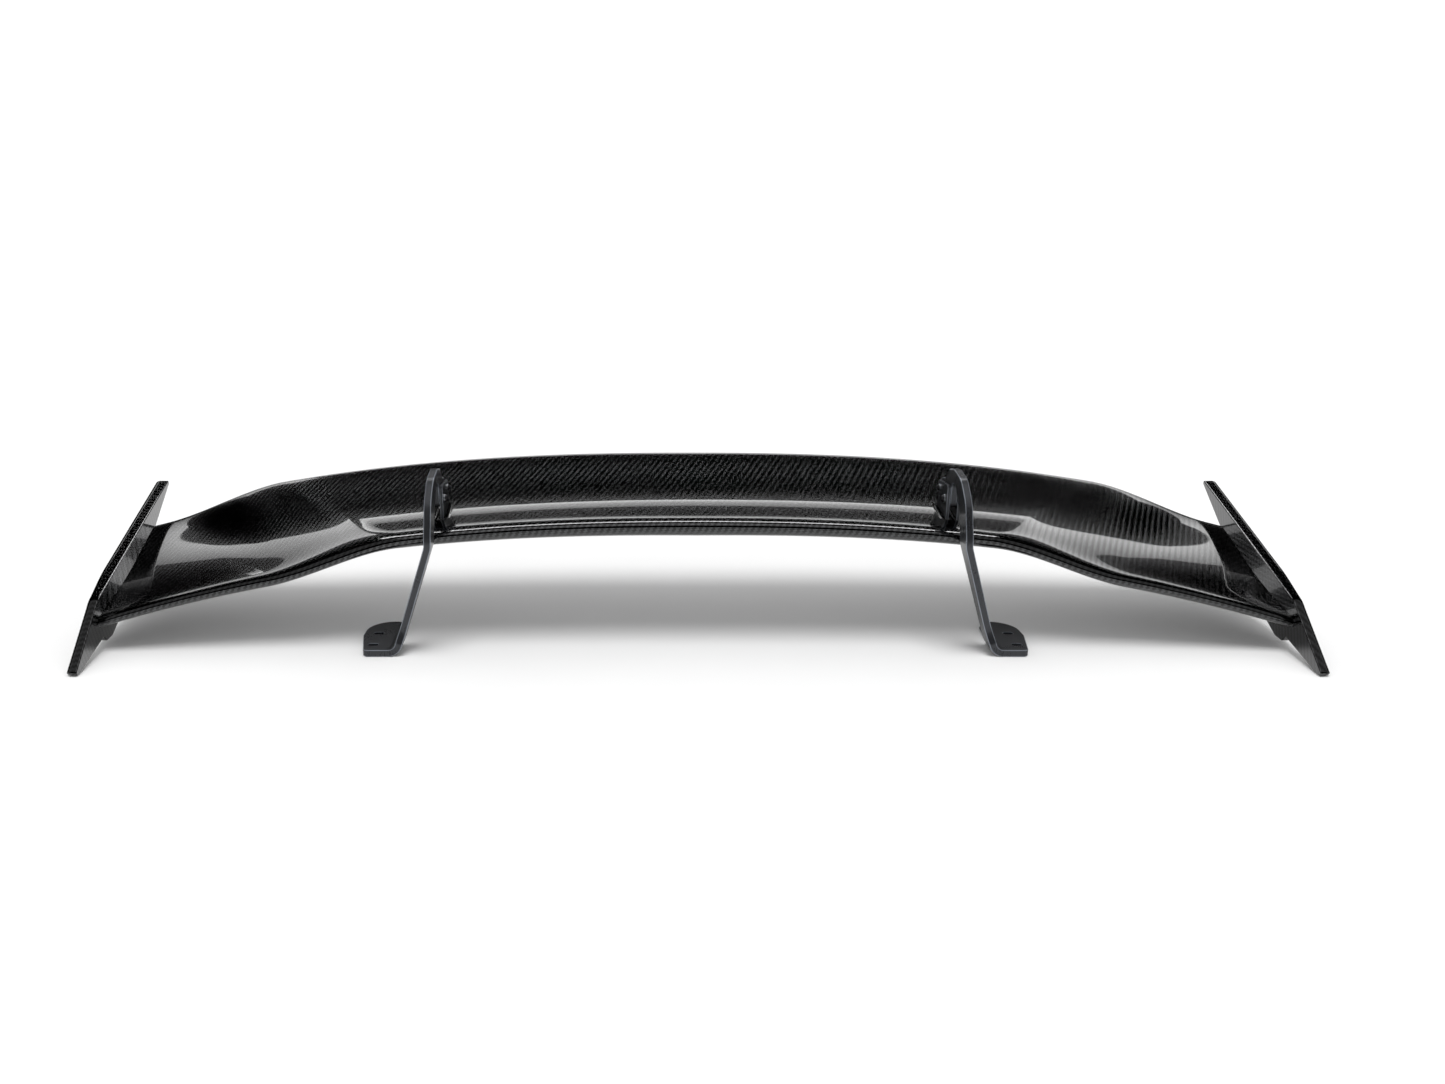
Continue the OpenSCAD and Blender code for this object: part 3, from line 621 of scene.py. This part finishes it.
# fall of the skin for each millimetre outboard
MOUNT_SLOPE = float(top_z(UPRIGHT_X, MOUNT_Y) - top_z(UPRIGHT_X + 1, MOUNT_Y))
EAR_EDGE_R, EAR_HOLE_R, FLANGE_EDGE_R, FLANGE_HOLE_R = 0.6, 0.3, 0.4, 0.2
EAR_EDGE_STEP, EAR_GRID, FLANGE_EDGE_STEP, FLANGE_GRID = 2.0, 4.0, 4.0, 6.0


def bracket(name, ear_x, outboard, mirrored):
    """Ear that stands up through the skin, and the foot that it has under the skin."""
    ys = np.linspace(EAR_Y0, EAR_Y1, 8)
    below = [(y, float(top_z(UPRIGHT_X, y)) - FOOT_DROP - FLANGE_T / 2, 0) for y in ys]
    outline = rounded(below + [(EAR_Y1, EAR_TOP[1], 6), (EAR_Y0, EAR_TOP[0], 4)])
    ear_loops = [resample(outline, EAR_EDGE_STEP), circle(PIVOT, PIVOT_R + SCREW_GAP),
                 circle(CLAMP, CLAMP_R + SCREW_GAP)]

    def place_ear(points, drop, high):
        n = len(points)
        x = ear_x + (EAR_T - drop if high else drop)
        return (np.column_stack([x, points]), constant((0, 1, 0), n), constant((0, 0, 1), n),
                constant((1, 0, 0), n))

    ear = plate_parts(ear_loops, [(r, r) for r in (EAR_EDGE_R, EAR_HOLE_R, EAR_HOLE_R)],
                      place_ear, EAR_GRID)
    x0, x1 = (ear_x + EAR_T - 1, ear_x + EAR_T + FLANGE_W) if outboard else (
        ear_x - FLANGE_W, ear_x + 1)
    screw_x = ear_x + EAR_T + FLANGE_W / 2 if outboard else ear_x - FLANGE_W / 2
    foot_outline = rounded([(x0, EAR_Y0 - 1, 2), (x1, EAR_Y0 - 1, 2), (x1, EAR_Y1 + 1, 2),
                            (x0, EAR_Y1 + 1, 2)])
    foot_loops = [resample(foot_outline, FLANGE_EDGE_STEP)] + [
        circle((screw_x, y), 2 * BRACKET_SCREW_R + SCREW_GAP) for y in SCREW_YS]

    def place_foot(points, drop, high):
        x, y = points[:, 0], points[:, 1]
        top = np.array([float(top_z(UPRIGHT_X, v)) for v in y]) - (x - UPRIGHT_X) * MOUNT_SLOPE
        z = top - FOOT_DROP - (drop if high else FLANGE_T - drop)
        n = len(x)
        return (np.column_stack([x, y, z]), constant((1, 0, 0), n), constant((0, 1, 0), n),
                constant((0, 0, 1), n))

    foot = plate_parts(foot_loops, [(r, r) for r in (FLANGE_EDGE_R, FLANGE_HOLE_R, FLANGE_HOLE_R)],
                       place_foot, FLANGE_GRID)
    base = len(ear[0])
    verts, rims = (np.concatenate([ear[k], foot[k]]) for k in (0, 4))
    faces = ear[1] + [[i + base for i in f] for f in foot[1]]
    return make_piece(name, verts, faces, ear[2] + foot[2], ear[3] + foot[3], rims, mirrored)


# ---- materials --------------------------------------------------------------------------------
class Nodes:
    """Small helper that builds the node tree of one material, or of the world."""

    def __init__(self, block, shader="Principled BSDF"):
        self.material = block
        block.use_nodes = True
        self.tree = block.node_tree
        self.shader = self.tree.nodes[shader]

    def put(self, node, socket, value):
        """Links a socket, or sets its value. None leaves it as it is."""
        if isinstance(value, bpy.types.NodeSocket):
            self.tree.links.new(value, node.inputs[socket])
        elif value is not None:
            node.inputs[socket].default_value = value

    def new(self, kind, out=0, settings=None, **values):
        """One output of a new node. i0, i1... are inputs by number, the others by name."""
        node = self.tree.nodes.new(kind)
        for key, value in (settings or {}).items():
            setattr(node, key, value)
        for key, value in values.items():
            self.put(node, int(key[1:]) if key[1:].isdigit() else key.replace("_", " "), value)
        return node.outputs[out]

    def math(self, op, a, b=None, c=None):
        return self.new("ShaderNodeMath", settings={"operation": op}, i0=a, i1=b, i2=c)

    def vec(self, op, a, b=None, out=0):
        return self.new("ShaderNodeVectorMath", out, {"operation": op}, i0=a, i1=b)

    def scaled(self, vector, factor):
        return self.new("ShaderNodeVectorMath", settings={"operation": "SCALE"}, i0=vector,
                        Scale=factor)

    def ramp(self, value, low, high, to_low, to_high):
        return self.new("ShaderNodeMapRange", i0=value, i1=low, i2=high, i3=to_low, i4=to_high)

    def noise(self, vector, scale, detail=2.0):
        return self.new("ShaderNodeTexNoise", 0, Vector=vector, Scale=scale, Detail=detail)

    def varied(self, noise, low, high):
        """The usual spread of a noise's values, widened or narrowed to low...high."""
        return self.ramp(noise, 0.3, 0.7, low, high)

    def object_point(self):
        return self.new("ShaderNodeTexCoord", "Object")

    def set(self, **values):
        """Sets or links inputs of the tree's shader."""
        for key, value in values.items():
            self.put(self.shader, key.replace("_", " "), value)
        return self.material


TOW_PITCH, CLOTH_ANGLE = 0.0028, 23.0           # metres, and degrees from the span
FLOAT_TOWS = 4.0                                # tows in one repeat of a 2x2 twill
SIDE_SLOPE, END_SLOPE = 0.05, 0.03              # of a tow, at its side and at its float's end
UNDER_TOW_PAINTED_SHADE, OVER_TOW_PAINTED_SHEEN = 0.15, 2.0             # painted sheen and shade: one family of tows is painted lighter than the other, in place of the light it catches
STREAK_ALONG, STREAK_ACROSS = 0.12, 9.0         # streaks for each tow width, along and across it
GAP_START, GAP_SHADE = 0.42, 0.25               # a tow darkens from here to its side
FIBRE_TINT = (1, 1.02, 1.06)
RAW_WAYS = (1.0, 0.9, 0.0), (0.0, 0.45, 1.0)    # the two ways of raw cloth through a solid
RAW_ACROSS = (0.1, 0.6, 0.8)


def carbon(name, clear_coat, fibre, rough):
    """2x2 twill of carbon tows: each tow is a bundle of shiny dark fibres, arched across and along
    its float, with or without a glossy clear coat over it. The coated cloth follows the pieces'
    UV map, and raw cloth, which is inside, runs straight through them."""
    g = Nodes(bpy.data.materials.new(name))
    cos, sin = math.cos(math.radians(CLOTH_ANGLE)), math.sin(math.radians(CLOTH_ANGLE))
    normal = g.new("ShaderNodeNewGeometry", "Normal")
    if clear_coat:
        split = g.tree.nodes.new("ShaderNodeSeparateXYZ")
        g.put(split, 0, g.new("ShaderNodeUVMap", settings={"uv_map": "cloth"}))
        s, t = split.outputs[0], split.outputs[1]
        t_s = g.new("ShaderNodeTangent", settings={"direction_type": "UV_MAP", "uv_map": "cloth"})
    else:
        at = g.object_point()
        s, t = (g.vec("DOT_PRODUCT", at, way, out=1) for way in RAW_WAYS)
        t_s = g.vec("NORMALIZE", g.vec("CROSS_PRODUCT", normal, RAW_ACROSS))

    def turned(u, v, ku, kv):
        return g.math("MULTIPLY_ADD", u, ku, g.math("MULTIPLY", v, kv))

    a = turned(s, t, cos / TOW_PITCH, sin / TOW_PITCH)
    b = turned(s, t, -sin / TOW_PITCH, cos / TOW_PITCH)
    i, j = g.math("FLOOR", a), g.math("FLOOR", b)

    def in_repeat(p, q):
        return g.math("FLOORED_MODULO", g.math("SUBTRACT", p, q), FLOAT_TOWS)

    # which family is on top, then each family's place along its float and across its tow, 0 in
    # the middle; each goes over two tows and under two, and a step further on in the next tow
    over = g.math("LESS_THAN", in_repeat(i, j), 1.5)
    float1 = g.math("SUBTRACT", in_repeat(a, j), 1.0)
    float2 = g.math("SUBTRACT", in_repeat(b, i), 2.0)
    width1 = g.math("SUBTRACT", g.math("FRACT", b), 0.5)
    width2 = g.math("SUBTRACT", g.math("FRACT", a), 0.5)

    def choose(under_value, over_value):
        """over_value where the first family of tows is on top, under_value elsewhere."""
        return g.new("ShaderNodeMix", settings={"data_type": "FLOAT"}, i0=over, i2=under_value,
                     i3=over_value)

    def times(value, factor):
        return g.math("MULTIPLY", value, factor)

    slope1 = choose(times(width2, 2 * SIDE_SLOPE), times(float1, END_SLOPE))
    slope2 = choose(times(float2, END_SLOPE), times(width1, 2 * SIDE_SLOPE))
    t_t = g.vec("CROSS_PRODUCT", normal, t_s)
    lean_s = g.math("MULTIPLY_ADD", slope1, cos, g.math("MULTIPLY", slope2, -sin))
    lean_t = g.math("MULTIPLY_ADD", slope1, sin, g.math("MULTIPLY", slope2, cos))
    tilted = g.vec("ADD", normal, g.vec("ADD", g.scaled(t_s, lean_s), g.scaled(t_t, lean_t)))
    bumped = g.vec("NORMALIZE", tilted)
    dir1 = g.vec("ADD", g.scaled(t_s, cos), g.scaled(t_t, sin))
    dir2 = g.vec("ADD", g.scaled(t_s, -sin), g.scaled(t_t, cos))
    cross_fibre = g.new("ShaderNodeMix", 1, {"data_type": "VECTOR"}, i0=over, i4=dir1, i5=dir2)
    # every tow a little lighter or darker, with fine streaks along its fibres
    tow = g.new("ShaderNodeCombineXYZ", i0=choose(i, j), i1=over)
    tone = g.new("ShaderNodeTexWhiteNoise", 0, Vector=tow)
    streak_at = g.new("ShaderNodeCombineXYZ", i2=over,
                      i0=choose(times(b, STREAK_ALONG), times(a, STREAK_ALONG)),
                      i1=choose(times(a, STREAK_ACROSS), times(b, STREAK_ACROSS)))
    streak = g.noise(streak_at, 1.0)
    aside = g.math("ABSOLUTE", choose(width2, width1))
    shade = times(g.ramp(tone, 0.0, 1.0, 0.85, 1.15), g.varied(streak, 0.8, 1.2))
    shade = times(shade, g.ramp(aside, GAP_START, 0.5, 1.0, GAP_SHADE))
    # painted sheen and shade: the tows on top are painted lighter and the ones under darker,
    # whichever way the light falls
    shade = times(shade, choose(UNDER_TOW_PAINTED_SHADE, OVER_TOW_PAINTED_SHEEN))
    colour = g.scaled(tuple(fibre * part for part in FIBRE_TINT), shade)
    if clear_coat:
        g.set(Coat_Weight=1.0, Coat_Roughness=0.03, Coat_IOR=1.5)
    return g.set(Base_Color=colour, Metallic=1.0, Roughness=rough, Anisotropic=0.9,
                 Normal=bumped, Tangent=cross_fibre)


PATCHES = 28.0          # patches of wear and handling in a metre, roughly


def metal(name, tint, rough, metallic=1.0, brush=(1, 1, 1), grain=600.0, depth=0.00002,
          edge_wear_and_highlight=None, spread=0.25):
    """Metal with fine grain and uneven roughness. brush stretches the grain along an axis, depth
    is the grain's height in metres, spread is how uneven the roughness is, and
    edge_wear_and_highlight is the colour painted on rounded edges, on pieces that have rim values:
    partly edge wear and partly a painted highlight."""
    g = Nodes(bpy.data.materials.new(name))
    at = g.object_point()
    fine = g.noise(g.vec("MULTIPLY", at, brush), grain, 3.0)
    patches = g.noise(at, PATCHES, 3.0)
    tone = g.math("MULTIPLY", g.varied(patches, 0.9, 1.1), g.varied(fine, 0.92, 1.08))
    colour = g.scaled(tint, tone)
    if edge_wear_and_highlight:
        # painted highlight and wear: rounded edges are painted a pale colour, partly worn metal
        # and partly the light they would catch
        rim = g.new("ShaderNodeAttribute", "Fac", {"attribute_name": "rim"})
        wear_and_highlight_mask = g.math("MULTIPLY", rim, g.ramp(patches, 0.35, 0.65, 0.7, 1.0))
        colour = g.new("ShaderNodeMix", 2, {"data_type": "RGBA"}, i0=wear_and_highlight_mask, i6=colour, i7=edge_wear_and_highlight)
    bump = g.new("ShaderNodeBump", Strength=0.6, Distance=depth, Height=fine)
    rough_out = g.math("MULTIPLY", g.varied(patches, 1 - spread, 1 + spread),
                       g.varied(fine, rough * 0.92, rough * 1.08))
    return g.set(Base_Color=colour, Metallic=metallic, Roughness=rough_out, Normal=bump)


SLOT_MATERIALS = {
    "clear_carbon": carbon("clear_carbon", True, fibre=0.024, rough=0.13),
    "raw_carbon": carbon("raw_carbon", False, fibre=0.08, rough=0.38),
    # black anodised: its rounded edges are painted pale, partly edge wear and partly a painted
    # highlight
    "black_anodised": metal("black_anodised", (0.042, 0.044, 0.049), 0.30, metallic=0.6,
                            brush=(1, 1, 0.15), grain=700.0, depth=0.000004,
                            edge_wear_and_highlight=(0.34, 0.37, 0.42, 1), spread=0.1),
    "bare_aluminium": metal("bare_aluminium", (0.72, 0.73, 0.75), 0.34, brush=(1, 0.06, 1),
                            grain=1500.0),
    "black_steel": metal("black_steel", (0.045, 0.045, 0.048), 0.38),
    "zinc_steel": metal("zinc_steel", (0.55, 0.57, 0.60), 0.30),
    "brass": metal("brass", (0.72, 0.52, 0.22), 0.30)}


# ---- pieces -----------------------------------------------------------------------------------
def stand_for(piece, body, slot, node):
    """The piece rides on this body, takes this slot's material and replaces this CAD node."""
    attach(piece, body)
    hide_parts(node)
    piece.data.materials.append(SLOT_MATERIALS[slot])


stand_for(skin("plane_upper", 1), "wing", "clear_carbon", "upper_skin")
stand_for(skin("plane_lower", -1), "wing", "clear_carbon", "lower_skin")
for hand, mirrored in (("left", False), ("right", True)):
    stand_for(end_plate(f"{hand}_blade", mirrored), "wing", "clear_carbon", f"{hand}_end_plate")
    stand_for(upright(f"{hand}_swan_neck", mirrored), "uprights", "black_anodised",
              f"{hand}_upright")
    for place_name, x, outboard in (("inner", EAR_XS[0], False), ("outer", EAR_XS[1], True)):
        stand_for(bracket(f"{hand}_{place_name}_ear", x, outboard, mirrored), "wing",
                  "black_anodised", f"{hand}_{place_name}_bracket")

# the CAD nodes that are still shown get their own slot's material
slot_of = {part["node"]: part["material_slot"] for part in frame["record"]["subparts"]}
for node_name, node in frame["nodes"].items():
    if node.hide_render:
        continue
    material = SLOT_MATERIALS[slot_of[node_name]]
    if node.material_slots:
        for held in node.material_slots:
            held.material = material
    else:
        node.data.materials.append(material)

# ---- floor, light and camera ------------------------------------------------------------------
FLOOR_REACH, FLOOR_DROP = 12.0, 0.0004
bpy.ops.mesh.primitive_plane_add(size=2 * FLOOR_REACH, location=(0, 0, -FLOOR_DROP))
floor = bpy.context.object
floor.name = "floor"
g = Nodes(bpy.data.materials.new("floor"))
tone = g.varied(g.noise(g.object_point(), 6.0), 0.985, 1.0)
floor.data.materials.append(g.set(Base_Color=g.scaled((0.93, 0.93, 0.93), tone), Roughness=0.9,
                                  Specular_IOR_Level=0.0))

FILL, BACKDROP = 0.70, 1.2          # light on the part, and the white seen past the floor
world = bpy.data.worlds.new("studio")
bpy.context.scene.world = world
g = Nodes(world, "Background")
seen_directly = g.new("ShaderNodeLightPath", "Is Camera Ray")
g.set(Color=(1, 1, 1, 1), Strength=g.ramp(seen_directly, 0.0, 1.0, FILL, BACKDROP))
world.cycles_visibility.glossy = False

OVERHEAD_POWER, OVERHEAD_SPREAD, OVERHEAD_TILT = 1.6, 30.0, 18.0     # the last two in degrees
overhead = linked("overhead", bpy.data.lights.new("overhead", "SUN"))
overhead.data.energy, overhead.data.angle = OVERHEAD_POWER, math.radians(OVERHEAD_SPREAD)
overhead.rotation_euler = (math.radians(OVERHEAD_TILT), 0, 0)
overhead.visible_glossy = False

CARD_AIM = Vector((0, 0.05, 0.15))


def softbox(name, azimuth, elevation, width, height, low, high, distance=3.2):
    """Glowing card seen only in reflections. Azimuth and elevation are those of its middle, and
    azimuth 0 is straight behind the wing. Width and height are degrees too. Its light goes from
    low at its lower edge to high at its upper edge, by the same factor in every step."""
    az, el = math.radians(azimuth), math.radians(elevation)
    way = Vector((math.sin(az) * math.cos(el), math.cos(az) * math.cos(el), math.sin(el)))
    half_w = distance * math.tan(math.radians(width / 2))
    half_h = distance * math.tan(math.radians(height / 2))
    mesh = bpy.data.meshes.new(name)
    mesh.from_pydata([(-half_w, -half_h, 0), (half_w, -half_h, 0), (half_w, half_h, 0),
                      (-half_w, half_h, 0)], [], [(0, 1, 2, 3)])
    card = linked(name, mesh)
    card.location = CARD_AIM + way * distance
    card.rotation_mode = "QUATERNION"
    card.rotation_quaternion = way.to_track_quat("Z", "Y")
    for ray in ("camera", "diffuse", "shadow", "transmission", "volume_scatter"):
        setattr(card, f"visible_{ray}", False)
    g = Nodes(bpy.data.materials.new(name))
    g.tree.nodes.remove(g.shader)
    up = g.new("ShaderNodeSeparateXYZ", 1, i0=g.object_point())
    rise = g.math("POWER", high / low, g.ramp(up, -half_h, half_h, 0.0, 1.0))
    glow = g.new("ShaderNodeEmission", Color=(1, 1, 1, 1), Strength=g.math("MULTIPLY", rise, low))
    g.put(g.tree.nodes["Material Output"], "Surface", glow)
    mesh.materials.append(g.material)


# name, azimuth, elevation, width, height, low, high and, for one, distance in metres
for card in (("strip_behind", 1, 26.4, 68, 4.0, 0.6, 3.8),
             ("left_behind", 43.5, 22.4, 21, 4.6, 0.8, 3.2),
             ("right_behind", -41.5, 26.2, 17, 4.8, 0.8, 3.2),
             ("ceiling", 0, 51.5, 60, 7, 7.0, 7.0),
             ("front_high", 180, 78, 60, 50, 1.1, 1.1, 4.0),
             ("left_side", 104, 35, 46, 60, 0.45, 0.25),
             ("right_side", -104, 35, 46, 60, 0.45, 0.25)):
    softbox(*card)

CAMERA_AT = (-0.0934, -1.652, 0.651)
CAMERA_TILT = 73.0                              # degrees up from looking straight down
SENSOR, LENS, SHIFT = 36, 32.64, 0.0675         # millimetres, and sensor widths
camera = linked("camera", bpy.data.cameras.new("camera"))
camera.location = CAMERA_AT
camera.rotation_euler = (math.radians(CAMERA_TILT), 0, 0)
camera.data.sensor_width, camera.data.lens, camera.data.shift_x = SENSOR, LENS, SHIFT
bpy.context.scene.camera = camera
bpy.context.scene.view_settings.view_transform = "Standard"
